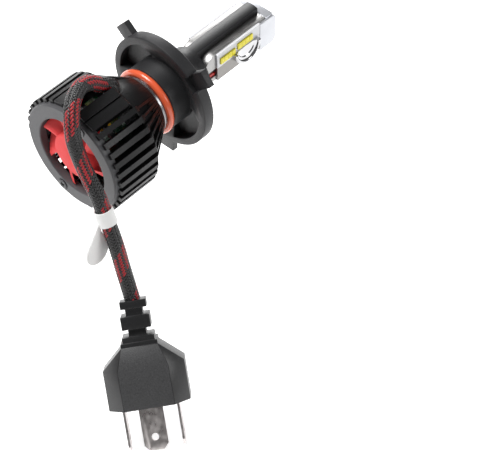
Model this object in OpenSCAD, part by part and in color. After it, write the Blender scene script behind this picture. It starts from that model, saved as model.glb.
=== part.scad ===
// LED headlight bulb with a three-tab H4 (P43t) collar, a finned heat sink with a fan in its tail,
// and a braided lead with a three-blade plug. Millimetres.
// +Y is the bulb's axis towards the LED tip, +Z is up, and the origin is the centre of the
// collar's front face, which seats on the lamp.

/* [Collar] */
// Diameter of the collar's flange
flange_d = 43; // [41:0.5:45]
// Depth of the flange along the axis
flange_t = 4.6; // [4:0.2:5.6]
// Thickness of the three locating tabs
tab_t = 2.3; // [1.8:0.1:2.6]
// Width of the three locating tabs
tab_w = 6.2; // [5:0.2:7.4]
// How far the two upper tabs stand out from the flange
tab_reach = 4.7; // [3.5:0.1:5.5]
// How far the lower tab stands out from the flange
low_tab_reach = 7.4; // [6:0.1:8.5]
// Outer diameter of the sleeve behind the flange
sleeve_d = 24.6; // [23.4:0.2:26]
// Length of the sleeve behind the flange
sleeve_len = 4.8; // [3.6:0.2:6]

/* [Neck] */
// Diameter of the neck that the collar slides on
neck_d = 20; // [19:0.2:21]
// Thickness of the O-ring
o_ring_w = 2.6; // [2:0.1:3]

/* [Heat sink] */
// Diameter over the fins
sink_d = 44.4; // [43:0.2:47]
// Length of the heat sink along the axis
sink_len = 31; // [30:0.2:36]
// Length of the tapered front of the fins
taper_len = 14; // [12.4:0.2:16]
// Number of fin places around the sink
fin_places = 36; // [30:2:38]
// Width of the outer bar of a fin
fin_w = 1.9; // [1.4:0.1:2.1]
// Thickness of the web under the bar
web_w = 0.9; // [0.6:0.1:1.1]

/* [Fan] */
// Diameter of the opening in the retaining ring
opening_d = 30.2; // [27:0.2:31]
// Thickness of the retaining ring
ring_t = 3; // [2.4:0.1:3.4]
// Number of fan blades
fan_blades = 7; // [5:1:9]
// Diameter of the fan's hub
hub_d = 17.4; // [15:0.2:18]
// Depth of the fan's hub
hub_len = 7; // [6.4:0.1:7.6]
// Turn of each blade from its rear edge to its front edge
blade_twist = 48; // [30:1:50]

/* [Mast] */
// Distance from the collar's front face to the tip of the mast
mast_len = 47; // [44:0.5:52]
// Width over the two silver frames
mast_w = 12; // [11:0.2:14]
// Height of the frames and the LED boards
frame_h = 12; // [11:0.2:13]
// Height of the black core
core_h = 17; // [15:0.2:17.6]
// Width of the black core
core_w = 4.8; // [4:0.2:5.4]

/* [Cord and plug] */
// Diameter of the braided lead
cord_d = 5.4; // [4.8:0.2:5.8]
// Width of the plug
plug_w = 27.5; // [25:0.5:30]
// Thickness of the plug from its top face to its feet
plug_t = 15.4; // [15:0.2:17]
// Length of the plug's body along the blades
plug_len = 21; // [20:0.5:25]
// Width of a plug blade
blade_w = 8.2; // [7.6:0.2:8.6]
// Thickness of a plug blade
blade_t = 0.8; // [0.6:0.1:1]
// How far a blade stands out of the plug
blade_reach = 15.5; // [13:0.5:17]

/* [Hidden] */
$fn = 96;

fit = 0.03;             // radial gap of parts pressed or glued together
slack = 0.15;           // gap of parts that drop in by hand
run = 0.4;              // gap round the turning fan

// Places along the axis, from the tail forward
sleeve_rear = -flange_t - sleeve_len;
shoulder_front = sleeve_rear - o_ring_w - 0.1;
shoulder_len = 1.5;
sink_front = shoulder_front - shoulder_len;
sink_rear = sink_front - sink_len;
ring_sunk = 1.6;        // how far the retaining ring sits inside the fins
ring_seat = sink_rear + ring_sunk;
ring_rear = ring_seat - ring_t;

// Radii
flange_r = flange_d / 2;
sleeve_r = sleeve_d / 2;
neck_r = neck_d / 2;
shoulder_r = neck_r + 1.2;
sink_r = sink_d / 2;
bar_depth = 2.8;        // radial depth of a fin's outer bar
rim_w = 1.45;           // fin left standing round the retaining ring
ring_r = sink_r - rim_w - slack;
opening_r = opening_d / 2;
cavity_r = opening_r + 1.3;
ledge_r = cavity_r - 0.8;
wire_bore_r = 3.6;

// Places around the axis are clock angles: 0 is up (+Z), 90 is +X, seen from the tail
tab_clocks = [-49, 49, 180];
pocket_clocks = [-57, 128];
screw_clocks = [19, 199];
fin_step = 360 / fin_places;
boss_w = 8.2;
saddle_w = 4.2;
slot_w = 6.8;            // the open slot between two fins that the cord lies in
block_r = sink_r - 0.2;
screw_r = (ring_r + opening_r) / 2;
screw_d = 2.4;

// Fan
hub_r = hub_d / 2;
hub_wall = 1;
hub_rear = ring_rear + 0.5;
hub_front = hub_rear + hub_len;
blade_tip_r = opening_r - run - 0.2;
blade_rear = hub_rear + 0.7;
blade_len = hub_len - 0.9;
frame_rear = hub_front + 0.8;
frame_t = 1.6;
frame_front = frame_rear + frame_t;
shaft_r = 0.75;
bearing_r = 2;
driver_y = frame_front + 4.6;
driver_t = 1.2;

// Mast
core_r = core_w / 2;
frame_r = mast_w / 2;
frame_t_x = frame_r - core_r - fit;
root_y = 11.5;
tip_t = 4.5;
core_end = mast_len - tip_t;
root_r = frame_h / 2;
base_r = neck_r + 2.2;
board_t = 0.8;
board_y = root_y + root_r - 0.3;
board_end = core_end - 3.6;
led_y = board_y + 1.3;
led_len = 7.6;
led_gap = 1.1;
led_t = 0.6;
low_y = led_y + led_len + led_gap;
low_z = 2;
high_z = 1.2;
led_h = 2.6;
cup_r = 6.4;
cup_y = low_y + led_len / 2 + 0.2;

// Cord: from the grommet over the top of the sink, behind the fan and down to the plug
cord_r = cord_d / 2;
cord_points = [[-0.3, -25.3, 16.2], [-0.3, -26.2, 19.6], [-0.4, -30, 22], [-1, -34, 25.3],
    [-1, -38, 26.5], [1, -42.5, 27], [4, -46.8, 27], [7, -50, 24], [9, -51.5, 18.5],
    [13.5, -52.5, 11], [19.5, -53, 2.5], [23.2, -53.5, -5], [27.4, -54, -14], [31.2, -55, -23],
    [37, -57, -33]];
cable_clock = atan2(cord_points[0][0], cord_points[0][2]);
cable_exit_r = norm([cord_points[0][0], cord_points[0][2]]);
grommet_r = 3.4;
grommet_len = 4.6;

// Plug: its frame hangs along -Z with its top face to -Y, then leans with the cord
plug_origin = cord_points[len(cord_points) - 1];
plug_yaw = 44;
plug_lean = -42;
plug_roll = -8;
neck_len = 15;
chamfer = 5.2;
body_top = -neck_len;
body_full = body_top - 7.4;
body_end = body_top - plug_len;
top_flat = plug_w - 2 * chamfer;
blade_x = blade_w / 2 + 5.1;
blade_depth = 5.5;      // the top blade's depth below the plug's top face

module on_axis() { rotate([-90, 0, 0]) children(); }
module at_clock(clock) { rotate(clock) children(); }

// A plate that holds the axis, drawn as [radius, place along the axis], standing at clock 0
module axial_plate(width, outline) {
    rotate([90, 0, -90]) linear_extrude(width, center = true) polygon(outline);
}

// A ring or disc between two places along the axis
module tube_y(outer, inner, from, to) {
    on_axis() translate([0, 0, from]) difference() {
        cylinder(r = outer, h = to - from);
        translate([0, 0, -1]) cylinder(r = inner, h = to - from + 2);
    }
}
module disc_y(outer, from, to) {
    on_axis() translate([0, 0, from]) cylinder(r = outer, h = to - from);
}

// ---- Collar, O-ring and neck ----
pocket_out = flange_r - 2.7;
pocket_in = sleeve_r + 0.1;
module pocket_shape(clock) {
    on_axis() at_clock(clock - 90) translate([0, 0, -flange_t - 1])
        rotate([0, 0, -33]) rotate_extrude(angle = 66)
            translate([pocket_in, 0]) square([pocket_out - pocket_in, flange_t + 0.2]);
}
module tab(clock, reach) {
    on_axis() at_clock(clock) translate([-tab_w / 2, -flange_r - reach, -tab_t])
        cube([tab_w, reach + 2, tab_t]);
}
module collar() {
    color("dimgray") difference() {
        union() {
            on_axis() rotate_extrude() polygon([[neck_r + fit, -0.5], [base_r + 0.3, -0.5],
                [base_r + 0.3, 0], [flange_r - 0.4, 0],
                [flange_r, -0.4], [flange_r, -flange_t + 0.3], [flange_r - 0.3, -flange_t],
                [pocket_out - 0.6, -flange_t], [sleeve_r + 1.2, -2.2], [sleeve_r, -2.2],
                [sleeve_r, sleeve_rear + 0.3], [sleeve_r - 0.3, sleeve_rear],
                [neck_r + fit, sleeve_rear]]);
            tab(tab_clocks[0], tab_reach);
            tab(tab_clocks[1], tab_reach);
            tab(tab_clocks[2], low_tab_reach);
        }
        for (clock = pocket_clocks) pocket_shape(clock);
        // keyway through the rim, behind the second tab
        on_axis() at_clock(tab_clocks[1]) translate([-tab_w / 2, -flange_r - 1, -flange_t - 1])
            cube([tab_w, 4, flange_t - tab_t + 1]);
    }
}
module o_ring() {
    color("orangered") on_axis() translate([0, 0, sleeve_rear - 0.05 - o_ring_w / 2])
        rotate_extrude() translate([neck_r + 0.05 + o_ring_w / 2, 0]) circle(d = o_ring_w, $fn = 48);
}
spigot_len = 4;
spigot_r = 6;
module neck_tube() {
    color("silver") on_axis() rotate_extrude() polygon([
        [wire_bore_r, sink_front - spigot_len], [spigot_r, sink_front - spigot_len],
        [spigot_r, sink_front], [shoulder_r, sink_front], [shoulder_r, shoulder_front],
        [neck_r, shoulder_front], [neck_r, 0], [neck_r - 2, 0], [neck_r - 2, -9],
        [wire_bore_r, -9]]);
}

// ---- Heat sink ----
fin_front = sink_front - taper_len;
cone_len = 11.4;                // the hub's cone, from the neck to the cavity's wall
cone_r = shoulder_r + 0.4;
cone_end = sink_front - cone_len;
floor_y = cone_end - 0.4;       // the wall at the front of the fan's cavity
cone_rear_r = cavity_r + 0.6;
// What every fin and block shares: its seat for the ring and its step for the fan's frame
fin_rear = [[sink_r - rim_w, sink_rear], [sink_r - rim_w, ring_seat], [cavity_r, ring_seat],
    [cavity_r, frame_front], [ledge_r, frame_front], [ledge_r, floor_y + 0.6],
    [neck_r, floor_y + 0.6]];
module fin_web() {
    axial_plate(web_w, concat([[neck_r, sink_front - 1], [cone_r + 0.6, sink_front - 1],
        [sink_r - 4.7, sink_front - taper_len * 0.62], [sink_r - 1, fin_front],
        [sink_r - 1, sink_rear]], fin_rear));
}
module fin_bar() {
    bar_in = sink_r - bar_depth;
    axial_plate(fin_w, [[bar_in, fin_front + 2.4], [sink_r, fin_front], [sink_r, sink_rear],
        [sink_r - rim_w, sink_rear], [sink_r - rim_w, ring_seat], [bar_in, ring_seat]]);
}
// Low rib between two fins on the cone
module cone_rib() {
    axial_plate(0.5, [[neck_r, sink_front - 1], [cone_r + 0.6, sink_front - 1],
        [cone_r + 3.2, sink_front - cone_len * 0.46], [neck_r, sink_front - cone_len * 0.46]]);
}
// Wide bar with a steep front on its own web, for a screw or beside the cord
module block(width, web) {
    bar_in = block_r - 3;
    axial_plate(web, concat([[cone_r, sink_front - 3], [cone_rear_r - 1, cone_end],
        [block_r - 2.5, fin_front - 0.4], [block_r - 1, fin_front - 1.2],
        [block_r - 1, sink_rear]], fin_rear));
    axial_plate(width, [[bar_in, fin_front - 0.6], [block_r - 1, fin_front],
        [block_r, fin_front - 0.8], [block_r, sink_rear], [sink_r - rim_w, sink_rear],
        [sink_r - rim_w, ring_seat], [bar_in, ring_seat]]);
}
module boss() {
    difference() {
        block(boss_w, 4.4);
        translate([-0.3, -block_r - 1, sink_rear - 1]) cube([0.6, 1.9, sink_len + 2]);
    }
}
function off_by(a, b) = abs((a - b + 540) % 360 - 180);
fin_clocks = [for (i = [0 : fin_places - 1]) (i + 0.6) * fin_step];
slot_half = asin(slot_w / 2 / block_r);
saddle_clock = -14.2;           // the wide bar on the cord's other side
boss_keep = asin(boss_w / 2 / block_r) + fin_step * 0.42;
saddle_keep = asin(saddle_w / 2 / block_r) + fin_step * 0.42;
plain_clocks = [for (c = fin_clocks)
    if (off_by(c, screw_clocks[0]) > boss_keep && off_by(c, screw_clocks[1]) > boss_keep
        && off_by(c, saddle_clock) > saddle_keep && off_by(c, cable_clock) > slot_half) c];
module heat_sink() {
    color("#202022") difference() {
        on_axis() {
            rotate_extrude() polygon([[wire_bore_r, sink_front], [cone_r, sink_front],
                [cone_r + 2.8, sink_front - cone_len * 0.5], [cone_rear_r, cone_end],
                [cone_rear_r, floor_y], [wire_bore_r, floor_y]]);
            for (c = plain_clocks) at_clock(c) {
                fin_web();
                fin_bar();
                rotate(fin_step / 2) cone_rib();
            }
            for (c = screw_clocks) at_clock(c) boss();
            at_clock(saddle_clock) block(saddle_w, web_w);
        }
        disc_y(spigot_r + fit, sink_front - spigot_len - fit, sink_front + 1);
        disc_y(cavity_r, sink_rear - 1, frame_front);
        disc_y(sink_r - rim_w, sink_rear - 1, ring_seat);
        for (c = screw_clocks) on_axis() at_clock(c) translate([0, -screw_r, ring_seat - 1])
            cylinder(d = screw_d - 0.1, h = 8);
        grommet_place() translate([0, 0, -grommet_len]) cylinder(r = grommet_r + fit, h = grommet_len + 2);
    }
}

// ---- Retaining ring and its screws ----
head_d = 3.9;
head_sunk = 0.9;
module retaining_ring() {
    color("#3c3c3e") difference() {
        on_axis() rotate_extrude() polygon([[opening_r, ring_seat], [ring_r, ring_seat],
            [ring_r, ring_rear + 0.5], [ring_r - 0.5, ring_rear], [opening_r + 0.3, ring_rear],
            [opening_r, ring_rear + 0.3]]);
        for (c = screw_clocks) on_axis() at_clock(c) translate([0, -screw_r, ring_rear - 1]) {
            cylinder(d = screw_d + 0.3, h = ring_t + 2);
            cylinder(d = head_d + 0.3, h = head_sunk + 1);
        }
    }
}
module ring_screws() {
    color("#18181a") for (c = screw_clocks) on_axis() at_clock(c)
        translate([0, -screw_r, ring_rear + head_sunk]) difference() {
            union() {
                translate([0, 0, -1.2]) cylinder(d = head_d, h = 1.2);
                cylinder(d = screw_d - 0.1 - 2 * fit, h = 7);
            }
            for (a = [45, 135]) rotate(a) translate([-1, -0.22, -2]) cube([2, 0.44, 1.5]);
        }
}

// ---- Fan ----
// A blade's plan at its rear edge: swept back towards the tip, thicker at the hub
blade_sweep = 11;
blade_root_turn = 6;
blade_tip_turn = 5;
function on_arc(r, a) = [r * sin(a), -r * cos(a)];
module blade_section() {
    root = hub_r - 0.4;
    steps = 3;
    edge = [for (i = [0 : steps]) let (f = i / steps) [root + f * (blade_tip_r - root), f]];
    polygon(concat([for (e = edge) on_arc(e[0], -blade_sweep * e[1])],
        [for (i = [steps : -1 : 0]) let (e = edge[i]) on_arc(e[0], -blade_sweep * e[1]
            + blade_root_turn + (blade_tip_turn - blade_root_turn) * e[1])]));
}
module fan_rotor() {
    color("tomato") on_axis() {
        rotate_extrude() polygon([[shaft_r + fit, hub_rear + 0.6], [0.9, hub_rear + 0.6],
            [1.3, hub_rear], [hub_r - 0.5, hub_rear], [hub_r, hub_rear + 0.5],
            [hub_r, hub_front], [hub_r - hub_wall, hub_front],
            [hub_r - hub_wall, hub_rear + 1], [shaft_r + fit, hub_rear + 1]]);
        for (i = [0 : fan_blades - 1]) rotate(i * 360 / fan_blades - 12)
            translate([0, 0, blade_rear])
                linear_extrude(blade_len, twist = -blade_twist, slices = 8, segments = 8) blade_section();
    }
}
magnet_r = hub_r - hub_wall - fit;
magnet_w = 1.1;
stator_r = magnet_r - magnet_w - run;
module fan_magnet() {
    color("dimgray") tube_y(magnet_r, magnet_r - magnet_w, hub_rear + 1.2, hub_front - 0.2);
}
module fan_shaft() {
    color("silver") disc_y(shaft_r, hub_rear + 0.65, frame_rear - 0.1);
}
module fan_bearing() {
    color("goldenrod") tube_y(bearing_r, shaft_r + 0.05, hub_rear + 1.4, frame_rear);
}
stator_rear = hub_rear + 2.2;
stator_front = hub_front - 0.6;
arm_w = 1.4;
arm_h = 2.4;
module stator_arm(gap, len) {
    translate([0, -arm_w / 2 - gap, -arm_h / 2 - gap]) cube([len, arm_w + 2 * gap, arm_h + 2 * gap]);
}
module fan_stator() {
    stator_h = stator_front - stator_rear;
    color("gray") on_axis() translate([0, 0, stator_rear + stator_h / 2]) difference() {
        union() {
            cylinder(r = 3.2, h = stator_h, center = true);
            for (i = [0 : 3]) rotate(i * 90) {
                stator_arm(0, stator_r - 0.5);
                intersection() {
                    cylinder(r = stator_r, h = stator_h, center = true);
                    translate([stator_r - 0.8, -2.6, -10]) cube([2, 5.2, 20]);
                }
            }
        }
        cylinder(r = bearing_r + fit, h = 20, center = true);
    }
}
module fan_coils() {
    coil_len = stator_r - 0.9 - 3.4;
    color("peru") on_axis() for (i = [0 : 3]) rotate(i * 90)
        translate([3.4, 0, (stator_rear + stator_front) / 2]) difference() {
            translate([0, -1.5, -1.9]) cube([coil_len, 3, 3.8]);
            translate([-1, 0, 0]) stator_arm(fit, coil_len + 2);
        }
}
module fan_frame() {
    color("#242426") on_axis() translate([0, 0, frame_rear]) {
        cylinder(r = hub_r - 0.6, h = frame_t);
        difference() {
            cylinder(r = cavity_r - slack, h = frame_t);
            translate([0, 0, -1]) cylinder(r = cavity_r - 2, h = 9);
        }
        for (i = [0 : 2]) rotate(i * 120 + 60)
            translate([-1, -cavity_r + 1.2, 0]) cube([2, cavity_r - 5, frame_t]);
    }
}
module fan_board() {
    color("darkgreen") tube_y(hub_r - 2, bearing_r + slack, frame_rear - 0.8, frame_rear);
}
module fan_leads() {
    for (i = [0, 1]) color(i == 0 ? "red" : "black")
        translate([-6.4, 0, 2 - i * 1.8]) disc_y(0.45, frame_front, driver_y);
}

// ---- Driver in the front of the cavity ----
module driver_board() {
    color("darkgreen") difference() {
        disc_y(ledge_r - slack, driver_y, driver_y + driver_t);
        on_axis() translate([0, 4, driver_y - 1]) cylinder(r = 1.6, h = 9);
    }
}
module power_inductor() {
    color("#333336") on_axis() translate([5, 3.5, driver_y + driver_t]) cylinder(r = 3.2, h = 2.4);
}
module capacitors() {
    color("gold") {
        translate([1.5, driver_y - 3, 5.5]) cube([3.5, 3, 3]);
        translate([-8, driver_y - 2.4, 6]) cube([3.5, 2.4, 2.6]);
    }
}
module driver_chips() {
    color("#1c1c1e") {
        translate([-9, driver_y + driver_t, -3]) cube([5, 1.4, 4]);
        translate([-2.5, driver_y + driver_t, 6]) cube([4, 1.2, 3]);
    }
}

// ---- Mast ----
module mast_core() {
    color("#1e1e20") difference() {
        union() {
            on_axis() rotate_extrude() polygon([[0, -8.5], [neck_r - 2 - fit, -8.5],
                [neck_r - 2 - fit, 0.05], [base_r, 0.05], [base_r, 2.4], [base_r - 1.2, 5.4],
                [core_h / 2 + 0.6, 8.4], [core_h / 2, root_y], [0, root_y]]);
            intersection() {
                translate([-core_r, 8, -core_h / 2]) cube([core_w, core_end - 8, core_h]);
                translate([0, 8, 0]) rotate([-90, 0, 0]) cylinder(r = core_h / 2, h = 60);
            }
        }
        // the frames' round roots and the lead holes
        for (side = [-1, 1]) translate([side * (core_r + 10), board_y + 0.3, 0])
            rotate([0, 90, 0]) cylinder(r = root_r + fit, h = 20, center = true);
        for (side = [-1, 1], z = lead_z) lead_place(side, z) cylinder(r = lead_r + fit, h = 40);
    }
}
module frame_side(side) {
    mirror([side < 0 ? 1 : 0, 0, 0]) difference() {
        union() {
            translate([core_r + fit, board_y + 0.3, 0]) rotate([0, 90, 0])
                cylinder(r = root_r, h = frame_t_x);
            translate([core_r + fit, board_y + 0.3, -root_r])
                cube([frame_t_x, core_end - board_y - 0.3, frame_h]);
        }
        // notch under the board's root for the two leads
        translate([frame_r - 1.6, root_y - 1, lead_z[1] - 1]) cube([3, board_y - root_y + 1.4, 3.4]);
    }
}
module frame_left() { color("silver") frame_side(-1); }
module frame_right() { color("silver") frame_side(1); }
module tip_cap() {
    color("gainsboro") difference() {
        union() {
            translate([-frame_r - 0.3, core_end, -frame_h / 2 - 0.8])
                cube([mast_w + 0.6, tip_t, frame_h + 0.8]);
            for (side = [-1, 1]) translate([side * (frame_r + 0.5) - 0.5, board_end, -frame_h / 2 - 0.8])
                cube([1, core_end - board_end + tip_t, frame_h + 0.2]);
        }
        for (x = [-1, 1], z = [-1, 1]) translate([x * 20, mast_len, z * frame_h / 2 - 0.4])
            rotate([z * 45, 0, 0]) cube([60, 1.8, 1.8], center = true);
    }
}
module board_side(side) {
    translate([side * (frame_r + board_t / 2) - board_t / 2, board_y, -root_r + 0.2])
        cube([board_t, board_end - board_y, frame_h - 0.2]);
}
module board_left() { color("whitesmoke") board_side(-1); }
module board_right() { color("whitesmoke") board_side(1); }
module led_row(side, y, z) {
    face = frame_r + board_t;
    for (i = [0 : 3]) translate([side > 0 ? face : -face - led_t, y + i * led_len / 4, z])
        cube([led_t, led_len / 4 - 0.08, led_h]);
}
module high_beam_leds_left() { color("yellow") led_row(-1, led_y, high_z); }
module high_beam_leds_right() { color("yellow") led_row(1, led_y, high_z); }
module low_beam_leds_left() { color("yellow") led_row(-1, low_y, low_z); }
module low_beam_leds_right() { color("yellow") led_row(1, low_y, low_z); }
module beam_cup(side) {
    cup_top = min(high_z, low_z) - 0.1;
    mirror([side < 0 ? 1 : 0, 0, 0]) translate([frame_r + board_t, cup_y, cup_top])
        rotate([0, 90, 0]) rotate([0, 0, -90]) rotate_extrude(angle = 180)
            polygon([[0, 0], [cup_r, 0], [cup_r, 1.7], [cup_r - 0.6, 2.1], [cup_r - 1.1, 1.8],
                [cup_r - 1.3, 1.1], [cup_r - 2.1, 0.9], [cup_r - 2.4, 0.5], [0, 0.35]]);
}
module beam_cup_left() { color("lightgray") beam_cup(-1); }
module beam_cup_right() { color("lightgray") beam_cup(1); }
lead_r = 0.6;
lead_z = [-1.2, -3];
lead_x = frame_r - 0.9;
module lead_place(side, z) {
    translate([side * lead_x, 7, z]) rotate([-90, 0, 0]) children();
}
module mast_leads_red() {
    color("firebrick") for (side = [-1, 1]) lead_place(side, lead_z[1])
        cylinder(r = lead_r, h = board_y - 7, $fn = 24);
}
module mast_leads_black() {
    color("#1c1c1e") for (side = [-1, 1]) lead_place(side, lead_z[0])
        cylinder(r = lead_r, h = board_y - 7, $fn = 24);
}

// ---- Cord, grommet and tag ----
module grommet_place() {
    on_axis() at_clock(cable_clock) translate([0, 0, cord_points[0][1]])
        rotate([90, 0, 0]) translate([0, 0, cable_exit_r]) children();
}
module cable_grommet() {
    color("#161618") grommet_place() translate([0, 0, -grommet_len]) difference() {
        cylinder(r = grommet_r, h = grommet_len);
        translate([0, 0, -1]) cylinder(r = 1.6, h = grommet_len + 2);
    }
}
cord_sides = 12;
steps_per_leg = 3;
function unit(v) = v / norm(v);
function clamp_at(i) = cord_points[max(0, min(len(cord_points) - 1, i))];
function spline(a, b, c, d, t) = 0.5 * ((2 * b) + (c - a) * t
    + (2 * a - 5 * b + 4 * c - d) * t * t + (3 * b - a - 3 * c + d) * t * t * t);
legs = len(cord_points) - 1;
path = [for (i = [0 : legs - 1], s = [0 : steps_per_leg - 1])
    spline(clamp_at(i - 1), clamp_at(i), clamp_at(i + 1), clamp_at(i + 2), s / steps_per_leg),
    cord_points[legs]];
function path_dir(i) = unit(path[min(len(path) - 1, i + 1)] - path[max(0, i - 1)]);
function ring_at(p, d, r, n) =
    let (u = unit(cross(d, [0.2, 1, 0.3])), v = cross(d, u))
    [for (k = [0 : n - 1]) p + r * (cos(k * 360 / n) * u + sin(k * 360 / n) * v)];
module sweep_tube(points, dirs, r, n) {
    last = len(points) - 1;
    rings = [for (i = [0 : last]) each ring_at(points[i], dirs[i], r, n)];
    sides = [for (i = [0 : last - 1], k = [0 : n - 1])
        let (a = i * n + k, b = i * n + (k + 1) % n) each [[a, b + n, b], [a, a + n, b + n]]];
    near = [for (k = [1 : n - 2]) [0, k, k + 1]];
    far = [for (k = [1 : n - 2]) [last * n, last * n + k + 1, last * n + k]];
    polyhedron(rings, concat(sides, near, far));
}
// The way the plug's blades point, worked out from its three turns
function turn_z(v, a) = [v[0] * cos(a) - v[1] * sin(a), v[0] * sin(a) + v[1] * cos(a), v[2]];
function turn_x(v, a) = [v[0], v[1] * cos(a) - v[2] * sin(a), v[1] * sin(a) + v[2] * cos(a)];
function turn_y(v, a) = [v[0] * cos(a) + v[2] * sin(a), v[1], -v[0] * sin(a) + v[2] * cos(a)];
plug_dir = turn_z(turn_x(turn_y([0, 0, -1], plug_roll), plug_lean), plug_yaw);
cord_dirs = [for (i = [0 : len(path) - 1])
    i == 0 ? unit([cord_points[0][0], 0, cord_points[0][2]])
    : i == len(path) - 1 ? plug_dir : path_dir(i)];
module cord() { color("#2a2224") sweep_tube(path, cord_dirs, cord_r, cord_sides); }

// The tag: a wrap round the cord and a rounded flag that hangs from it
tag_at = 33;            // the place on the path that the tag is wrapped at
tag_t = 0.5;
tag_w = 9.6;
tag_reach = 18;
tag_lean = [-27, -6, 0];
tag_dir = path_dir(tag_at);
module along_cord() {
    translate(path[tag_at]) rotate([0, acos(tag_dir[2]), atan2(tag_dir[1], tag_dir[0])]) children();
}
module cord_tag() {
    color("white") difference() {
        union() {
            along_cord() cylinder(r = cord_r + slack + tag_t, h = 5.4, center = true);
            translate(path[tag_at]) rotate(tag_lean) rotate([90, 0, 90])
                linear_extrude(tag_t, center = true) hull() {
                    translate([0, -2]) circle(2.4);
                    translate([0, tag_w / 2 - tag_reach]) circle(d = tag_w);
                }
        }
        along_cord() cylinder(r = cord_r + slack, h = 30, center = true);
    }
}

// ---- Plug ----
module plug_place() {
    translate(plug_origin) rotate([0, 0, plug_yaw]) rotate([plug_lean, 0, 0])
        rotate([0, plug_roll, 0]) children();
}
neck_y = plug_t / 2 - 1;        // the neck's centre below the top face is at the plug's origin
module strain_relief() {
    color("#232325") plug_place() {
        translate([-4.4, -3.2, -2.6]) cube([8.8, 6.4, 2.6]);
        translate([-2.9, -2.9, -5]) cube([5.8, 5.8, 2.4]);
        translate([-4.9, -4.2, -9.4]) cube([9.8, 8.4, 4.4]);
        translate([-3, -3, -11.8]) cube([6, 6, 2.4]);
        translate([-5.4, -4.6, -13.6]) cube([10.8, 9.2, 1.8]);
        translate([-6.2, -5.2, body_top]) cube([12.4, 10.4, neck_len - 13.6]);
    }
}
// The plug's cross-section: a flat top towards -Y, two chamfers and two legs
module plug_outline() {
    polygon([[-top_flat / 2, -neck_y], [top_flat / 2, -neck_y],
        [plug_w / 2, chamfer - neck_y], [plug_w / 2, plug_t - neck_y],
        [-plug_w / 2, plug_t - neck_y], [-plug_w / 2, chamfer - neck_y]]);
}
leg_w = 7.4;
socket_w = plug_w - 2 * leg_w;
socket_top = blade_depth - neck_y - 1.4;
socket_len = 11;
module plug_body() {
    color("#232325") plug_place() difference() {
        union() {
            translate([0, 0, body_end]) linear_extrude(body_full - body_end) plug_outline();
            hull() {
                translate([0, 0, body_full - 0.01]) linear_extrude(0.01) plug_outline();
                translate([-6.2, -5.2, body_top - 0.01]) cube([12.4, 10.4, 0.01]);
            }
        }
        translate([-socket_w / 2, socket_top, body_end - 1])
            cube([socket_w, plug_t, socket_len + 1]);
        blade_slots(fit);
    }
}
// Inner block that carries the top blade, pushed in between the plug's legs, with its floor plate
module plug_insert() {
    insert_w = socket_w - 2 * fit;
    color("#2a2a2c") plug_place() difference() {
        union() {
            translate([-insert_w / 2, socket_top + fit, body_end + socket_len - 2])
                cube([insert_w, plug_t - 3.4, 2 - fit]);
            translate([-insert_w / 2, plug_t - neck_y - 3, body_end])
                cube([insert_w, 2, socket_len - fit]);
        }
        blade_slots(fit);
    }
}
module blade_shape(len) {
    bevel = 2;
    difference() {
        linear_extrude(blade_t, center = true) polygon([[-blade_w / 2, 0], [blade_w / 2, 0],
            [blade_w / 2, -len + bevel], [blade_w / 2 - bevel * 0.8, -len],
            [-blade_w / 2 + bevel * 0.8, -len], [-blade_w / 2, -len + bevel]]);
        translate([0, -len + 4.6, -2]) cylinder(d = 2.4, h = 4);
    }
}
root_len = 10.5;
module top_blade_place() {
    translate([0, blade_depth - neck_y, body_end + root_len]) rotate([90, 0, 0]) children();
}
module side_blade_place(side) {
    translate([side * blade_x, blade_depth - neck_y + 1 + blade_w / 2, body_end + root_len])
        rotate([90, 0, 90]) children();
}
module blade_slots(gap) {
    top_blade_place() translate([-blade_w / 2 - gap, -root_len - 2, -blade_t / 2 - gap])
        cube([blade_w + 2 * gap, root_len + 2 + gap, blade_t + 2 * gap]);
    for (side = [-1, 1]) side_blade_place(side)
        translate([-blade_w / 2 - gap, -root_len - 2, -blade_t / 2 - gap])
            cube([blade_w + 2 * gap, root_len + 2 + gap, blade_t + 2 * gap]);
}
module blade_top() {
    color("lightgray") plug_place() top_blade_place() blade_shape(root_len + blade_reach);
}
module blade_left() {
    color("lightgray") plug_place() side_blade_place(-1) blade_shape(root_len + blade_reach);
}
module blade_right() {
    color("lightgray") plug_place() side_blade_place(1) blade_shape(root_len + blade_reach);
}

collar();
o_ring();
neck_tube();
heat_sink();
retaining_ring();
ring_screws();
fan_rotor();
fan_magnet();
fan_shaft();
fan_bearing();
fan_stator();
fan_coils();
fan_frame();
fan_board();
driver_board();
power_inductor();
capacitors();
driver_chips();
fan_leads();
mast_core();
frame_left();
frame_right();
tip_cap();
board_left();
board_right();
high_beam_leds_left();
high_beam_leds_right();
low_beam_leds_left();
low_beam_leds_right();
beam_cup_left();
beam_cup_right();
mast_leads_red();
mast_leads_black();
cable_grommet();
cord();
cord_tag();
strain_relief();
plug_body();
plug_insert();
blade_top();
blade_left();
blade_right();
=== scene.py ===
"""LED headlight bulb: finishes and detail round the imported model, in metres.

+Y is the bulb's axis towards the LED tip, +Z is up, and the origin is the centre of the collar's
front face."""

import math

import bpy
from mathutils import Matrix, Vector


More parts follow.
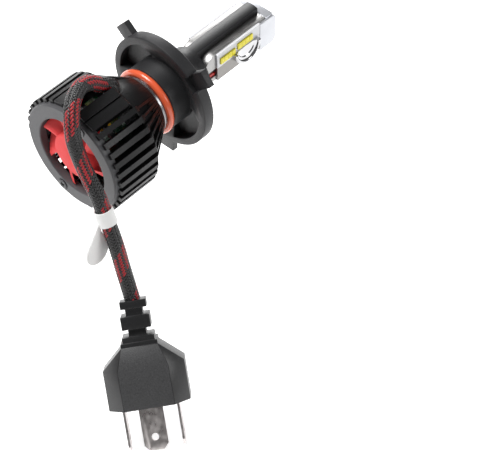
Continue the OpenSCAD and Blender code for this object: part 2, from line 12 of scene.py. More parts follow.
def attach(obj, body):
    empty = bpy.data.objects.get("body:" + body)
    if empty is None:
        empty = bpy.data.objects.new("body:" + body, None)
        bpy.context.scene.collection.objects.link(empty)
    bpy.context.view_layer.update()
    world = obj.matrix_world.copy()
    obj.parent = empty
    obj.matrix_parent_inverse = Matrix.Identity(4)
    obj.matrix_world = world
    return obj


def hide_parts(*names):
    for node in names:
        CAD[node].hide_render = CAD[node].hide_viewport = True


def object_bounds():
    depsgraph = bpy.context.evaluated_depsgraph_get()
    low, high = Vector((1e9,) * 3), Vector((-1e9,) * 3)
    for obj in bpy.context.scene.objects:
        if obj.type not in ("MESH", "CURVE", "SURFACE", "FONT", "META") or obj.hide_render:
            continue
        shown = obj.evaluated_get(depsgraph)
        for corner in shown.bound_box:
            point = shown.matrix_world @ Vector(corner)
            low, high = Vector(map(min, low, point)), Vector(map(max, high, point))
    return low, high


bl_info = {
    "name": "LED Headlight Bulb",
    "version": (1, 0, 0),
    "blender": (4, 5, 0),
    "location": "View3D > Sidebar > Bulb",
    "description": "Builds the finished pieces of an LED headlight bulb round its packed frame",
    "category": "Object",
}

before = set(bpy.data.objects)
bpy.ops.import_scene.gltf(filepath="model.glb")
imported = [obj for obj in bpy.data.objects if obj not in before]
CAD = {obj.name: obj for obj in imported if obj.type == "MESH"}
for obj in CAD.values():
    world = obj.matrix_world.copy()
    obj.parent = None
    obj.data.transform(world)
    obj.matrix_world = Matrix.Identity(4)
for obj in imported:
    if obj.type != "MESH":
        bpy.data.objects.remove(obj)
CAD_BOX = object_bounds()
MM = 0.001

# The lead's route in millimetres, as in the model's source, the steps between two points, and a
# sideways direction to start its frames from
LEAD_POINTS = [(-0.3, -25.3, 16.2), (-0.3, -26.2, 19.6), (-0.4, -30, 22), (-1, -34, 25.3),
               (-1, -38, 26.5), (1, -42.5, 27), (4, -46.8, 27), (7, -50, 24), (9, -51.5, 18.5),
               (13.5, -52.5, 11), (19.5, -53, 2.5), (23.2, -53.5, -5), (27.4, -54, -14),
               (31.2, -55, -23), (37, -57, -33)]
LEAD_STEPS = 24
LEAD_SIDE = (0.2, 1, 0.3)

# The plug's turns about X, Y and Z in degrees, and how near a face is to its top direction to be
# painted lighter as painted light from above
PLUG_TURNS = (-42, -8, 44)
PLUG_TOP_WITHIN = 0.98

# The braid: a yarn's thickness, its rise over the others, the share of its lane that it fills,
# its section in widths and thicknesses, a gain that keeps it flat while it is over or under, the
# steps from one yarn's lane to the next, and the core's sides and gap below the weave
YARN_THICK = 0.00026
YARN_LIFT = 0.00013
YARN_COVER = 0.84
YARN_SECTION = ((-0.5, 0.0), (-0.3, -0.42), (0.3, -0.42), (0.5, 0.0), (0.3, 0.42), (0.0, 0.5),
                (-0.3, 0.42))
WEAVE_GAIN = 1.4143
STEPS_PER_YARN = 4
CORE_SIDES = 16
CORE_GAP = YARN_THICK * 0.4

# Rounding of the small pieces' edges
SCREW_EDGE = 0.0001
FAN_EDGE = 0.00012
CHIP_EDGE = 0.0001
CUP_EDGE = 0.00008
TIP_EDGE = 0.0003
BLADE_EDGE = 0.00012
TAG_EDGE = 0.00008

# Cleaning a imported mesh: points merged within a distance and flat faces joined within degrees,
# and the angles in degrees under which an edge is shaded smooth
MERGE_WITHIN = 2e-6
FLAT_WITHIN = 0.6
SMOOTH_ANGLE = 32
FAN_SMOOTH_ANGLE = 40
LEAD_SMOOTH_ANGLE = 60

# The camera's direction in degrees, and its place to the right, up and back in millimetres
CAMERA_AZIMUTH = 42.42
CAMERA_ELEVATION = 49.3
CAMERA_PLACE = (27.83, -47.79, 615.05)
CAMERA_LENS = 129.6
CAMERA_SENSOR = 36.0

# The studio: each lamp's place to the right, up and back of the bulb's middle, its size and watts
BULB_MIDDLE = (0.01, -0.02, 0)
LAMPS = (("key_light", (-0.35, 0.5, 0.45), 0.45, 7.5),
         ("fill_light", (0.7, 0.1, 0.35), 0.4, 2.0),
         ("rim_light", (0, 0.7, -0.3), 0.4, 3.0))
SKY_STRENGTH = 0.16
FLOOR_SIZE = 6.0
FLOOR_GAP = 0.0015
FLOOR_GLOW = 0.62


# ---- Small helpers ----

def deselect():
    if bpy.context.mode != "OBJECT":
        bpy.ops.object.mode_set(mode="OBJECT")
    bpy.ops.object.select_all(action="DESELECT")


def pick(piece):
    deselect()
    piece.select_set(True)
    bpy.context.view_layer.objects.active = piece


def settle(name):
    """Names the active primitive and puts its place into its mesh."""
    piece = bpy.context.object
    piece.name = piece.data.name = name
    pick(piece)
    bpy.ops.object.transform_apply(location=True, rotation=True, scale=True)
    return piece


def smooth(piece, angle=SMOOTH_ANGLE):
    pick(piece)
    bpy.ops.object.shade_smooth_by_angle(angle=math.radians(angle))


def round_edges(piece, width, segments, angle):
    pick(piece)
    bevel = piece.modifiers.new("rounded edges", "BEVEL")
    bevel.width = width
    bevel.segments = segments
    bevel.limit_method = "ANGLE"
    bevel.angle_limit = math.radians(angle)
    bevel.use_clamp_overlap = True
    bpy.ops.object.modifier_apply(modifier=bevel.name)


def paint(piece, *materials):
    """Gives a piece its materials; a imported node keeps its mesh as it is."""
    while len(piece.data.materials) < len(materials):
        piece.data.materials.append(None)
    for slot, material in zip(piece.material_slots, materials):
        slot.material = material


def finished_copy(node, name, edge, segments=2, angle=SMOOTH_ANGLE):
    """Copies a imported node's mesh, merges it into whole faces and rounds its edges."""
    piece = bpy.data.objects.new(name, CAD[node].data.copy())
    bpy.context.scene.collection.objects.link(piece)
    pick(piece)
    bpy.ops.object.mode_set(mode="EDIT")
    bpy.ops.mesh.select_all(action="SELECT")
    bpy.ops.mesh.remove_doubles(threshold=MERGE_WITHIN)
    bpy.ops.mesh.customdata_custom_splitnormals_clear()
    bpy.ops.mesh.dissolve_limited(angle_limit=math.radians(FLAT_WITHIN))
    bpy.ops.object.mode_set(mode="OBJECT")
    if edge > 0:
        round_edges(piece, edge, segments, angle)
    smooth(piece, angle)
    return piece


def stand_for(piece, node, body):
    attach(piece, body)
    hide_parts(node)


def finish_node(node, name, slot, edge, segments=2, angle=SMOOTH_ANGLE, body="bulb"):
    """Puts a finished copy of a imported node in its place, in the finish of its slot."""
    piece = finished_copy(node, name, edge, segments, angle)
    paint(piece, FINISH[slot])
    stand_for(piece, node, body)


def paint_nodes(slots):
    """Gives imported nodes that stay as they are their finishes."""
    for node, slot in slots:
        paint(CAD[node], FINISH[slot])


def plug_turn():
    """The plug's turn: about its own Y first, then X, then Z."""
    lean, roll, yaw = (math.radians(a) for a in PLUG_TURNS)
    return (Matrix.Rotation(yaw, 3, "Z") @ Matrix.Rotation(lean, 3, "X")
            @ Matrix.Rotation(roll, 3, "Y"))


# ---- Shared surface effects ----

def sockets(group, inputs, outputs):
    """Gives a node group its sockets, and its inputs their first values."""
    for name, kind, value in inputs:
        made = group.interface.new_socket(name, in_out="INPUT", socket_type=kind)
        if value is not None:
            made.default_value = value
    for name, kind in outputs:
        group.interface.new_socket(name, in_out="OUTPUT", socket_type=kind)


def fine_surface_group():
    """Mottle, fine grain and a soft bump, read at the point that is passed in."""
    group = bpy.data.node_groups.new("fine_surface", "ShaderNodeTree")
    sockets(group, [("Point", "NodeSocketVector", None),
                    ("Mottle Scale", "NodeSocketFloat", 150.0),
                    ("Grain Scale", "NodeSocketFloat", 3000.0),
                    ("Depth", "NodeSocketFloat", 0.00002), ("Strength", "NodeSocketFloat", 0.3)],
            [("Mottle", "NodeSocketFloat"), ("Grain", "NodeSocketFloat"),
             ("Normal", "NodeSocketVector")])
    nodes, links = group.nodes, group.links
    given, out = nodes.new("NodeGroupInput"), nodes.new("NodeGroupOutput")
    mottle, grain, bump = (nodes.new("ShaderNodeTexNoise"), nodes.new("ShaderNodeTexNoise"),
                           nodes.new("ShaderNodeBump"))
    mottle.inputs["Detail"].default_value = 4.0
    grain.inputs["Detail"].default_value = 3.0
    for noise, scale in ((mottle, "Mottle Scale"), (grain, "Grain Scale")):
        links.new(given.outputs["Point"], noise.inputs["Vector"])
        links.new(given.outputs[scale], noise.inputs["Scale"])
    links.new(grain.outputs["Fac"], bump.inputs["Height"])
    links.new(given.outputs["Depth"], bump.inputs["Distance"])
    links.new(given.outputs["Strength"], bump.inputs["Strength"])
    links.new(mottle.outputs["Fac"], out.inputs["Mottle"])
    links.new(grain.outputs["Fac"], out.inputs["Grain"])
    links.new(bump.outputs["Normal"], out.inputs["Normal"])
    return group


def dust_group():
    """A thin mask of fine specks, each strongest at its middle."""
    group = bpy.data.node_groups.new("dust_specks", "ShaderNodeTree")
    sockets(group, [("Point", "NodeSocketVector", None),
                    ("Speck Scale", "NodeSocketFloat", 1400.0),
                    ("Amount", "NodeSocketFloat", 0.1)], [("Dust", "NodeSocketFloat")])
    nodes, links = group.nodes, group.links
    given, out = nodes.new("NodeGroupInput"), nodes.new("NodeGroupOutput")
    specks, keep, level = (nodes.new("ShaderNodeTexVoronoi"), nodes.new("ShaderNodeMapRange"),
                           nodes.new("ShaderNodeMath"))
    keep.inputs["From Min"].default_value = 0.16
    keep.inputs["From Max"].default_value = 0.06
    level.operation = "MULTIPLY"
    links.new(given.outputs["Point"], specks.inputs["Vector"])
    links.new(given.outputs["Speck Scale"], specks.inputs["Scale"])
    links.new(specks.outputs["Distance"], keep.inputs["Value"])
    links.new(keep.outputs["Result"], level.inputs[0])
    links.new(given.outputs["Amount"], level.inputs[1])
    links.new(level.outputs["Value"], out.inputs["Dust"])
    return group


def finish(name, base, second, roughness=(0.4, 0.55), metallic=0.0, stretch=(1, 1, 1),
           mottle=150.0, grain=3000.0, depth=0.00002, strength=0.3, coat=0.0, coat_roughness=0.1,
           specular=0.5, dust=0.0, by="mottle"):
    """A finish whose colour and gloss wander between two values, with grain and specks."""
    material = bpy.data.materials.new(name)
    material.use_nodes = True
    nodes, links = material.node_tree.nodes, material.node_tree.links
    shader = nodes["Principled BSDF"]
    shader.inputs["Metallic"].default_value = metallic
    shader.inputs["Specular IOR Level"].default_value = specular
    shader.inputs["Coat Weight"].default_value = coat
    shader.inputs["Coat Roughness"].default_value = coat_roughness
    place, turn = nodes.new("ShaderNodeTexCoord"), nodes.new("ShaderNodeMapping")
    turn.inputs["Scale"].default_value = stretch
    surface = nodes.new("ShaderNodeGroup")
    surface.node_tree = SHARED["fine_surface"]
    for socket, value in (("Mottle Scale", mottle), ("Grain Scale", grain), ("Depth", depth),
                          ("Strength", strength)):
        surface.inputs[socket].default_value = value
    tone, gloss = nodes.new("ShaderNodeMix"), nodes.new("ShaderNodeMapRange")
    tone.data_type = "RGBA"
    tone.name = "tone"
    tone.inputs["A"].default_value = (*base, 1)
    tone.inputs["B"].default_value = (*second, 1)
    gloss.inputs["From Min"].default_value = 0.3
    gloss.inputs["From Max"].default_value = 0.7
    gloss.inputs["To Min"].default_value = roughness[0]
    gloss.inputs["To Max"].default_value = roughness[1]
    links.new(place.outputs["Object"], turn.inputs["Vector"])
    links.new(turn.outputs["Vector"], surface.inputs["Point"])
    links.new(surface.outputs["Grain" if by == "grain" else "Mottle"], tone.inputs["Factor"])
    links.new(surface.outputs["Grain"], gloss.inputs["Value"])
    links.new(gloss.outputs["Result"], shader.inputs["Roughness"])
    links.new(surface.outputs["Normal"], shader.inputs["Normal"])
    colour = tone.outputs["Result"]
    if dust > 0:
        specks, lay = nodes.new("ShaderNodeGroup"), nodes.new("ShaderNodeMix")
        specks.node_tree = SHARED["dust_specks"]
        specks.inputs["Amount"].default_value = dust
        lay.data_type = "RGBA"
        lay.inputs["B"].default_value = (0.5, 0.5, 0.5, 1)
        links.new(place.outputs["Object"], specks.inputs["Point"])
        links.new(specks.outputs["Dust"], lay.inputs["Factor"])
        links.new(colour, lay.inputs["A"])
        colour = lay.outputs["Result"]
    links.new(colour, shader.inputs["Base Color"])
    return material


def board_finish(name):
    """White solder mask above the centre line and bare plated metal below it."""
    material = finish(name, (0.66, 0.66, 0.68), (0.58, 0.59, 0.61), (0.3, 0.42), grain=2400.0)
    nodes, links = material.node_tree.nodes, material.node_tree.links
    shader = nodes["Principled BSDF"]
    place = nodes["Texture Coordinate"]
    split, edge = nodes.new("ShaderNodeSeparateXYZ"), nodes.new("ShaderNodeMapRange")
    tone, metal = nodes.new("ShaderNodeMix"), nodes.new("ShaderNodeMapRange")
    edge.inputs["From Min"].default_value = -0.0002
    edge.inputs["From Max"].default_value = -0.0001
    tone.data_type = "RGBA"
    tone.inputs["A"].default_value = (0.24, 0.23, 0.22, 1)
    metal.inputs["To Min"].default_value = 0.9
    metal.inputs["To Max"].default_value = 0.0
    links.new(place.outputs["Object"], split.inputs["Vector"])
    links.new(split.outputs["Z"], edge.inputs["Value"])
    links.new(edge.outputs["Result"], tone.inputs["Factor"])
    links.new(nodes["tone"].outputs["Result"], tone.inputs["B"])
    links.new(tone.outputs["Result"], shader.inputs["Base Color"])
    links.new(edge.outputs["Result"], metal.inputs["Value"])
    links.new(metal.outputs["Result"], shader.inputs["Metallic"])
    return material


def deeper(colour, share):
    """A colour made darker, or lighter where the share is over 1."""
    return tuple(c * share for c in colour)


SHARED = {}
FINISH = {}


def sink_finishes(made, look):
    """The heat sink, the retaining ring, its screws and the fan's plastic"""
    made["sink"] = finish("anodised_black", (0.004, 0.004, 0.0045), (0.009, 0.009, 0.0095),
                          (0.30, 0.46), specular=0.28, mottle=90, grain=2600, depth=0.000012,
                          strength=0.35, dust=0.05)
    made["ring"] = finish("ring_charcoal", look.ring_colour, deeper(look.ring_colour, 1.25),
                          (0.46, 0.6), mottle=120, grain=3600, depth=0.00002,
                          strength=0.45, dust=0.05)
    made["screw"] = finish("screw_black", (0.022, 0.022, 0.024), (0.045, 0.045, 0.048),
                           (0.25, 0.4), metallic=0.7, mottle=300, grain=2500)
    made["fan"] = finish("fan_coral", look.fan_colour, deeper(look.fan_colour, 0.86),
                         (0.52, 0.62), mottle=70, grain=2200, depth=0.000015, strength=0.3,
                         specular=0.2)


def collar_finishes(made, look):
    """The collar, the O-ring and the turned neck"""
    made["collar"] = finish("collar_black", (0.013, 0.013, 0.014), (0.021, 0.021, 0.023),
                            (0.40, 0.55), specular=0.38, mottle=80, grain=3200, depth=0.000012,
                            strength=0.35, dust=0.05)
    made["o_ring"] = finish("silicone_ring", look.seal_colour, deeper(look.seal_colour, 0.8),
                            (0.16, 0.26), mottle=100, grain=2600, depth=0.00001, coat=0.4)
    made["shoulder"] = finish("turned_bright", (0.22, 0.22, 0.225), (0.34, 0.34, 0.35),
                              (0.2, 0.36), metallic=1.0, stretch=(1, 14, 1), mottle=160, grain=700,
                              depth=0.00001, by="grain")


def motor_finishes(made):
    """The metals inside the fan"""
    made["steel"] = finish("plain_steel", (0.50, 0.50, 0.52), (0.60, 0.60, 0.62), (0.25, 0.4),
                           metallic=1.0, grain=2600)
    made["bronze"] = finish("sintered_bronze", (0.42, 0.27, 0.10), (0.52, 0.35, 0.15), (0.4, 0.6),
                            metallic=0.9, grain=3800, depth=0.00003)
    made["iron"] = finish("laminated_iron", (0.05, 0.05, 0.055), (0.09, 0.09, 0.095), (0.45, 0.6),
                          metallic=0.8, stretch=(1, 6, 1), grain=900, depth=0.00003, by="grain")
    made["copper"] = finish("enamelled_wire", (0.30, 0.11, 0.04), (0.42, 0.18, 0.07), (0.22, 0.36),
                            metallic=0.9, stretch=(1, 5, 1), grain=700, depth=0.00006, strength=0.7,
                            by="grain")


def driver_finishes(made):
    """The fan's frame, the boards and the driver's components"""
    made["black_plastic"] = finish("moulded_black", (0.020, 0.020, 0.021), (0.032, 0.032, 0.034),
                                   (0.42, 0.58), grain=3000, depth=0.00002)
    made["board_green"] = finish("green_mask", (0.012, 0.085, 0.035), (0.02, 0.12, 0.05),
                                 (0.22, 0.36), mottle=500, grain=2400, coat=0.2)
    made["ferrite"] = finish("pressed_ferrite", (0.05, 0.05, 0.055), (0.08, 0.08, 0.085),
                             (0.6, 0.75), grain=4200, depth=0.00004)
    made["capacitor"] = finish("yellow_case", (0.80, 0.47, 0.03), (0.66, 0.36, 0.02), (0.28, 0.4),
                               mottle=260)
    made["chip"] = finish("chip_black", (0.018, 0.018, 0.019), (0.028, 0.028, 0.03), (0.5, 0.65),
                          grain=4200, depth=0.00002)


def mast_finishes(made, look):
    """The mast's wires, spine, frames, tip, boards, chips and cups"""
    made["wire"] = finish("red_insulation", (0.50, 0.02, 0.015), (0.62, 0.04, 0.03), (0.25, 0.38),
                          mottle=300)
    made["wire_black"] = finish("black_insulation", (0.012, 0.012, 0.012), (0.03, 0.03, 0.03),
                                (0.18, 0.3), mottle=300, coat=0.3)
    made["mast"] = finish("mast_black", (0.006, 0.006, 0.0065), (0.012, 0.012, 0.013), (0.36, 0.48),
                          specular=0.4, mottle=120, grain=3200, depth=0.000006, strength=0.2,
                          dust=0.04)
    made["frame"] = finish("brushed_plate", (0.30, 0.295, 0.29), (0.44, 0.435, 0.43), (0.34, 0.48),
                           metallic=1.0, stretch=(1, 0.12, 1), mottle=200, grain=2400,
                           depth=0.000008, by="grain")
    made["tip"] = finish("blasted_tip", (0.50, 0.51, 0.54), (0.60, 0.61, 0.64), (0.3, 0.44),
                         metallic=0.75, mottle=200, grain=3800, depth=0.00001)
    made["board_white"] = board_finish("board_white")
    made["phosphor"] = finish("phosphor_yellow", look.phosphor_colour,
                              deeper(look.phosphor_colour, 0.84), (0.35, 0.5), mottle=420,
                              grain=4200, depth=0.00003, strength=0.5)
    made["cup"] = finish("polished_cup", (0.48, 0.48, 0.49), (0.60, 0.60, 0.61), (0.06, 0.14),
                         metallic=1.0, mottle=200, grain=1500, depth=0.000004, strength=0.2)


def lead_finishes(made, look):
    """The grommet, the braid's yarns and the tag's film"""
    made["grommet"] = finish("grommet_black", (0.014, 0.014, 0.015), (0.024, 0.024, 0.025),
                             (0.5, 0.65), grain=3000, depth=0.00003)
    made["braid"] = finish("black_yarn", (0.001, 0.001, 0.001), (0.022, 0.021, 0.022), (0.16, 0.5),
                           mottle=600, grain=1500, depth=0.00006, strength=0.8, specular=0.6,
                           by="grain")
    made["tracer"] = finish("red_yarn", look.tracer_colour, deeper(look.tracer_colour, 0.55),
                            (0.30, 0.5), mottle=1500, grain=5200, depth=0.00005, strength=0.6)
    made["label"] = finish("label_film", (0.86, 0.86, 0.85), (0.80, 0.80, 0.79), (0.38, 0.5),
                           mottle=60, grain=2600, depth=0.00001)


def plug_finishes(made):
    """The plug's plastic, its top faces painted lighter as painted light falling from above, and
    its blades
    """
    made["plug"] = finish("plug_plastic", (0.009, 0.009, 0.0095), (0.017, 0.017, 0.018),
                          (0.30, 0.44), mottle=110, grain=2600, depth=0.00002, strength=0.4,
                          dust=0.06)
    # Painted light: the plug's top faces get a lighter colour that stands in for light falling on
    # them from above; the grain bump and specks are the plastic's own
    made["plug_top"] = finish("plug_top_painted_light", (0.018, 0.018, 0.019), (0.075, 0.075, 0.077),
                              (0.42, 0.6), mottle=900, grain=2300, depth=0.00009, strength=0.9,
                              dust=0.1, by="grain")
    made["blade"] = finish("tinned_blade", (0.52, 0.475, 0.465), (0.80, 0.76, 0.745), (0.24, 0.46),
                           metallic=1.0, stretch=(0.35, 0.35, 0.1), mottle=350, grain=1700,
                           depth=0.00002, strength=0.4, by="grain")


def floor_finish(made):
    """A pale floor with a glow of its own"""
    made["floor"] = finish("pale_floor", (0.88, 0.88, 0.88), (0.90, 0.90, 0.90), (0.7, 0.8),
                           mottle=4, grain=40, depth=0.0, strength=0.0, specular=0.1)
    glow = made["floor"].node_tree.nodes["Principled BSDF"]
    glow.inputs["Emission Color"].default_value = (1, 1, 1, 1)
    glow.inputs["Emission Strength"].default_value = FLOOR_GLOW


def make_finishes(look):
    """Makes the shared effects and then every finish."""
    SHARED["fine_surface"] = fine_surface_group()
    SHARED["dust_specks"] = dust_group()
    sink_finishes(FINISH, look)
    collar_finishes(FINISH, look)
    motor_finishes(FINISH)
    driver_finishes(FINISH)
    mast_finishes(FINISH, look)
    lead_finishes(FINISH, look)
    plug_finishes(FINISH)
    floor_finish(FINISH)


# ---- What a user can change ----

class BulbLook(bpy.types.PropertyGroup):
    """Colours of the bulb's pieces"""
    fan_colour: bpy.props.FloatVectorProperty(
        name="Fan", description="Colour of the fan's plastic", subtype="COLOR", size=3,
        default=(0.80, 0.060, 0.062), min=0, max=1)
    ring_colour: bpy.props.FloatVectorProperty(
        name="Retaining ring", description="Colour of the ring round the fan", subtype="COLOR",
        size=3, default=(0.062, 0.062, 0.066), min=0, max=1)
    seal_colour: bpy.props.FloatVectorProperty(
        name="O-ring", description="Colour of the seal behind the collar", subtype="COLOR", size=3,
        default=(0.84, 0.13, 0.05), min=0, max=1)
    tracer_colour: bpy.props.FloatVectorProperty(
        name="Tracer", description="Colour of the lead's tracer yarns", subtype="COLOR", size=3,
        default=(0.50, 0.018, 0.026), min=0, max=1)
    phosphor_colour: bpy.props.FloatVectorProperty(
        name="Phosphor", description="Colour of the LED chips", subtype="COLOR", size=3,
        default=(0.84, 0.74, 0.04), min=0, max=1)


class BulbSizes(bpy.types.PropertyGroup):
    """Sizes of the bulb's finished detail"""
    metal_edge: bpy.props.FloatProperty(
        name="Metal edge", description="Rounding of a machined edge", unit="LENGTH",
        default=0.00018, min=0.00002, max=0.0005, precision=5)
    fin_edge: bpy.props.FloatProperty(
        name="Fin edge", description="Rounding of a fin's edge", unit="LENGTH",
        default=0.0001, min=0.00002, max=0.0003, precision=5)
    plastic_edge: bpy.props.FloatProperty(
        name="Plastic edge", description="Rounding of a moulded edge", unit="LENGTH",
        default=0.0003, min=0.00005, max=0.0008, precision=5)
    lead_diameter: bpy.props.FloatProperty(
        name="Lead diameter", description="Diameter over the braid", unit="LENGTH",
        default=0.0054, min=0.004, max=0.006, precision=4)
    yarns: bpy.props.IntProperty(
        name="Yarns", description="Yarns of the braid that turn each way", default=16, min=8,
        max=32, step=4)
    tracer_yarns: bpy.props.IntProperty(
        name="Tracer yarns", description="Red yarns side by side in the braid", default=8, min=0,
        max=32)
    braid_pitch: bpy.props.FloatProperty(
        name="Braid pitch", description="Length of one turn of a yarn", unit="LENGTH",
        default=0.0176, min=0.012, max=0.08)


# ---- Stage ----

def camera_axes():
    """The camera's directions to the right, up and back."""
    a, e = math.radians(CAMERA_AZIMUTH), math.radians(CAMERA_ELEVATION)
    back = Vector((math.sin(a) * math.cos(e), -math.cos(a) * math.cos(e), math.sin(e)))
    right = Vector((math.cos(a), math.sin(a), 0))
    return right, back.cross(right), back


def add_lamp(name, place, target, size, watts):
    """A round area lamp that faces its target."""
    light = bpy.data.lights.new(name, "AREA")
    light.shape = "DISK"
    light.size = size
    light.energy = watts
    lamp = bpy.data.objects.new(name, light)
    bpy.context.scene.collection.objects.link(lamp)
    lamp.location = place
    lamp.rotation_mode = "QUATERNION"
    lamp.rotation_quaternion = (place - target).to_track_quat("Z", "Y")


class BULB_OT_stage(bpy.types.Operator):
    """Adds the camera, the floor and the studio light"""
    bl_idname = "bulb.stage"
    bl_label = "Stage"

    def execute(self, context):
        right, up, back = camera_axes()
        eye = (right * CAMERA_PLACE[0] + up * CAMERA_PLACE[1] + back * CAMERA_PLACE[2]) * MM
        camera = bpy.data.cameras.new("camera")
        camera.lens = CAMERA_LENS
        camera.sensor_width = CAMERA_SENSOR
        camera.clip_start, camera.clip_end = 0.02, 20.0
        view = bpy.data.objects.new("camera", camera)
        context.scene.collection.objects.link(view)
        view.matrix_world = (Matrix.Translation(eye)
                             @ Matrix((right, up, back)).transposed().to_4x4())
        context.scene.camera = view

        low = CAD_BOX[0].z - FLOOR_GAP
        deselect()
        bpy.ops.mesh.primitive_plane_add(size=FLOOR_SIZE, location=(0, 0, low))
        floor = settle("floor")
        paint(floor, FINISH["floor"])

        context.scene.view_settings.view_transform = "Standard"
        world = context.scene.world or bpy.data.worlds.new("studio")
        context.scene.world = world
        world.use_nodes = True
        sky = world.node_tree.nodes["Background"]
        sky.inputs["Color"].default_value = (1, 1, 1, 1)
        sky.inputs["Strength"].default_value = SKY_STRENGTH
        middle = Vector(BULB_MIDDLE)
        for name, (across, high, behind), size, watts in LAMPS:
            place = middle + right * across + up * high + back * behind
            add_lamp(name, place, middle, size, watts)
        return {"FINISHED"}


# ---- Lead ----

def lead_path(steps):
    """The lead's centreline, on the same smooth curve as the model's."""
    points = [Vector(p) * MM for p in LEAD_POINTS]
    last = len(points) - 1
    path = []
    for i in range(last):
        a, b = points[max(i - 1, 0)], points[i]
        c, d = points[i + 1], points[min(i + 2, last)]
        for s in range(steps):
            t = s / steps
            path.append(0.5 * (2 * b + (c - a) * t + (2 * a - 5 * b + 4 * c - d) * t * t
                               + (3 * b - a - 3 * c + d) * t ** 3))
    path.append(points[last])
    return path


def even_path(path, count):
    """The same line as evenly spaced points, with its length."""
    along = [0.0]
    for a, b in zip(path, path[1:]):
        along.append(along[-1] + (b - a).length)
    points, leg = [], 0
    for i in range(count):
        at = along[-1] * i / (count - 1)
        while leg < len(path) - 2 and along[leg + 1] < at:
            leg += 1
        t = (at - along[leg]) / (along[leg + 1] - along[leg])
        points.append(path[leg].lerp(path[leg + 1], t))
    return points, along[-1]


def lead_frames(points):
    """A direction and two sideways axes at each point, carried along without a twist."""
    frames, side = [], Vector(LEAD_SIDE)
    for i in range(len(points)):
        ahead = (points[min(i + 1, len(points) - 1)] - points[max(i - 1, 0)]).normalized()
        side = (side - ahead * side.dot(ahead)).normalized()
        frames.append((ahead, side, ahead.cross(side)))
    return frames


def yarn_rings(points, frames, yarns, yarn, way, weave_r, pitch):
    """One yarn's rings of points, two over and two under the yarns that turn the other way."""
    slope = math.atan(math.tau * weave_r / pitch)
    width = math.tau * weave_r / yarns * math.cos(slope) * YARN_COVER
    rings = []
    for i, (p, (d, u, v)) in enumerate(zip(points, frames)):
        crossing = 2 * i / STEPS_PER_YARN
        turn = math.tau * (way * i / (STEPS_PER_YARN * yarns) + yarn / yarns)
        wave = math.cos(math.pi / 2 * (2 * yarn + way * crossing) - math.pi / 4)
        over = way * max(-1, min(1, WEAVE_GAIN * wave))
        out = math.cos(turn) * u + math.sin(turn) * v
        round_way = -math.sin(turn) * u + math.cos(turn) * v
        side = math.cos(slope) * round_way - way * math.sin(slope) * d
        centre = p + out * (weave_r + YARN_LIFT * over)
        rings.append([centre + side * (width * x) + out * (YARN_THICK * y)
                      for x, y in YARN_SECTION])
    return rings


def core_rings(points, frames, radius):
    """The rings of the plain core under the yarns."""
    clocks = [math.tau * k / CORE_SIDES for k in range(CORE_SIDES)]
    return [[p + radius * (math.cos(a) * u + math.sin(a) * v) for a in clocks]
            for p, (_, u, v) in zip(points, frames)]


class BULB_OT_lead(bpy.types.Operator):
    """Makes the braided lead, yarn by yarn, round its core"""
    bl_idname = "bulb.lead"
    bl_label = "Braided lead"

    def execute(self, context):
        sizes = context.scene.bulb_sizes
        yarns = sizes.yarns
        weave_r = sizes.lead_diameter / 2 - YARN_LIFT - YARN_THICK / 2
        rough_path = lead_path(LEAD_STEPS)
        length = even_path(rough_path, 2)[1]
        turn_steps = STEPS_PER_YARN * yarns
        stops = round(turn_steps * length / sizes.braid_pitch)
        pitch = turn_steps * length / stops
        points = even_path(rough_path, stops + 1)[0]
        frames = lead_frames(points)
        verts, faces, marks, weave = [], [], [], []

        def tube(profile, mark):
            """Adds a closed tube through rings of points, and marks its material."""
            start, n = len(verts), len(profile[0])
            for ring in profile:
                verts.extend(ring)
            for i in range(len(profile) - 1):
                for k in range(n):
                    a, b = start + i * n + k, start + i * n + (k + 1) % n
                    faces.append((a, b, b + n, a + n))
                    marks.append(mark)
                    weave.extend(((k, i), (k + 1, i), (k + 1, i + 1), (k, i + 1)))
            for ends in (tuple(start + k for k in reversed(range(n))),
                         tuple(start + (len(profile) - 1) * n + k for k in range(n))):
                faces.append(ends)
                marks.append(mark)
                weave.extend((k, 0) for k in range(n))

        tube(core_rings(points, frames, weave_r - YARN_LIFT - CORE_GAP), 0)
        for way in (1, -1):
            for yarn in range(yarns):
                red = way == 1 and yarn < sizes.tracer_yarns
                tube(yarn_rings(points, frames, yarns, yarn, way, weave_r, pitch), int(red))
        mesh = bpy.data.meshes.new("lead_braid")
        mesh.from_pydata([tuple(v) for v in verts], [], faces)
        lead = bpy.data.objects.new("lead_braid", mesh)
        context.scene.collection.objects.link(lead)
        paint(lead, FINISH["braid"], FINISH["tracer"])
        mesh.polygons.foreach_set("material_index", marks)
        mesh.uv_layers.new(name="weave").data.foreach_set("uv", [c for uv in weave for c in uv])
        pick(lead)
        bpy.ops.object.mode_set(mode="EDIT")
        bpy.ops.mesh.select_all(action="SELECT")
        bpy.ops.mesh.normals_make_consistent(inside=False)
        bpy.ops.object.mode_set(mode="OBJECT")
        smooth(lead, LEAD_SMOOTH_ANGLE)
        stand_for(lead, "cord", "bulb")
        return {"FINISHED"}


# ---- Heat sink ----

class BULB_OT_heat_sink(bpy.types.Operator):
    """Finishes the heat sink, its retaining ring and the two screws"""
    bl_idname = "bulb.heat_sink"
    bl_label = "Heat sink"

    def execute(self, context):
        sizes = context.scene.bulb_sizes
        finish_node("heat_sink", "sink_fins", "sink", sizes.fin_edge, 1)
        finish_node("retaining_ring", "fan_ring", "ring", 0)
        finish_node("ring_screws", "cross_screws", "screw", SCREW_EDGE)
        return {"FINISHED"}


# ---- Fan ----

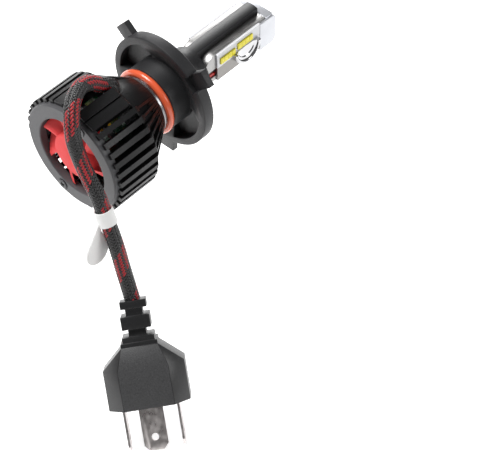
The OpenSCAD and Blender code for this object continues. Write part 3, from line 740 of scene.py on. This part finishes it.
class BULB_OT_fan(bpy.types.Operator):
    """Finishes the fan's rotor and motor"""
    bl_idname = "bulb.fan"
    bl_label = "Fan"

    def execute(self, context):
        finish_node("fan_rotor", "coral_fan", "fan", FAN_EDGE, angle=FAN_SMOOTH_ANGLE, body="rotor")
        paint_nodes((("fan_magnet", "iron"), ("fan_shaft", "steel"), ("fan_bearing", "bronze"),
                     ("fan_stator", "iron"), ("fan_coils", "copper"),
                     ("fan_frame", "black_plastic"), ("fan_board", "board_green"),
                     ("fan_leads", "wire")))
        return {"FINISHED"}


# ---- Collar ----

class BULB_OT_collar(bpy.types.Operator):
    """Finishes the collar, the neck and the O-ring"""
    bl_idname = "bulb.collar"
    bl_label = "Collar"

    def execute(self, context):
        edge = context.scene.bulb_sizes.metal_edge
        finish_node("collar", "locating_collar", "collar", edge)
        finish_node("neck_tube", "bright_neck", "shoulder", edge)
        paint_nodes((("o_ring", "o_ring"),))
        return {"FINISHED"}


# ---- Driver ----

class BULB_OT_driver(bpy.types.Operator):
    """Gives the driver's board, its components and the cord's grommet their finishes"""
    bl_idname = "bulb.driver"
    bl_label = "Driver"

    def execute(self, context):
        paint_nodes((("driver_board", "board_green"), ("power_inductor", "ferrite"),
                     ("capacitors", "capacitor"), ("driver_chips", "chip"),
                     ("cable_grommet", "grommet")))
        return {"FINISHED"}


# ---- Mast ----

class BULB_OT_mast(bpy.types.Operator):
    """Finishes the mast, its boards, LED chips and beam cups"""
    bl_idname = "bulb.mast"
    bl_label = "LED mast"

    def execute(self, context):
        edge = context.scene.bulb_sizes.metal_edge
        finish_node("mast_core", "mast_spine", "mast", edge)
        for side in ("left", "right"):
            finish_node(f"frame_{side}", f"plated_frame_{side}", "frame", edge)
            for beam in ("high", "low"):
                finish_node(f"{beam}_beam_leds_{side}", f"{beam}_chips_{side}", "phosphor",
                            CHIP_EDGE)
            finish_node(f"beam_cup_{side}", f"polished_cup_{side}", "cup", CUP_EDGE)
        finish_node("tip_cap", "tip_block", "tip", TIP_EDGE, 3)
        paint_nodes((("board_left", "board_white"), ("board_right", "board_white"),
                     ("mast_leads_red", "wire"), ("mast_leads_black", "wire_black")))
        return {"FINISHED"}


# ---- Plug and tag ----

class BULB_OT_plug(bpy.types.Operator):
    """Finishes the plug, its blades and the tag on the lead"""
    bl_idname = "bulb.plug"
    bl_label = "Plug"

    def execute(self, context):
        edge = context.scene.bulb_sizes.plastic_edge
        top_way = plug_turn() @ Vector((0, -1, 0))
        shell = finished_copy("plug_body", "plug_shell", edge)
        paint(shell, FINISH["plug"], FINISH["plug_top"])
        # Faces that point to the plug's top take the lighter finish, painted light from above
        for face in shell.data.polygons:
            face.material_index = int(face.normal.dot(top_way) > PLUG_TOP_WITHIN)
        stand_for(shell, "plug_body", "bulb")
        finish_node("plug_insert", "plug_core", "plug", edge)
        finish_node("strain_relief", "stepped_relief", "plug", edge)
        for side in ("top", "left", "right"):
            finish_node(f"blade_{side}", f"tin_blade_{side}", "blade", BLADE_EDGE)
        finish_node("cord_tag", "lead_tag", "label", TAG_EDGE, 1)
        return {"FINISHED"}


class BULB_PT_panel(bpy.types.Panel):
    """Lists the bulb's sizes, colours and pieces"""
    bl_idname = "BULB_PT_panel"
    bl_label = "LED Headlight Bulb"
    bl_space_type = "VIEW_3D"
    bl_region_type = "UI"
    bl_category = "Bulb"

    def draw(self, context):
        for group in (context.scene.bulb_sizes, context.scene.bulb_look):
            for name in group.__annotations__:
                self.layout.prop(group, name)
        for operator in OPERATORS:
            self.layout.operator(operator.bl_idname)


OPERATORS = (BULB_OT_stage, BULB_OT_lead, BULB_OT_heat_sink, BULB_OT_fan, BULB_OT_collar,
             BULB_OT_driver, BULB_OT_mast, BULB_OT_plug)
CLASSES = (BulbLook, BulbSizes, *OPERATORS, BULB_PT_panel)


def register():
    for made in CLASSES:
        bpy.utils.register_class(made)
    bpy.types.Scene.bulb_look = bpy.props.PointerProperty(type=BulbLook)
    bpy.types.Scene.bulb_sizes = bpy.props.PointerProperty(type=BulbSizes)


def unregister():
    del bpy.types.Scene.bulb_sizes
    del bpy.types.Scene.bulb_look
    for made in reversed(CLASSES):
        bpy.utils.unregister_class(made)


def main():
    register()
    make_finishes(bpy.context.scene.bulb_look)
    bpy.ops.bulb.stage()
    bpy.ops.bulb.lead()
    bpy.ops.bulb.heat_sink()
    bpy.ops.bulb.fan()
    bpy.ops.bulb.collar()
    bpy.ops.bulb.driver()
    bpy.ops.bulb.mast()
    bpy.ops.bulb.plug()


if __name__ == "__main__":
    main()
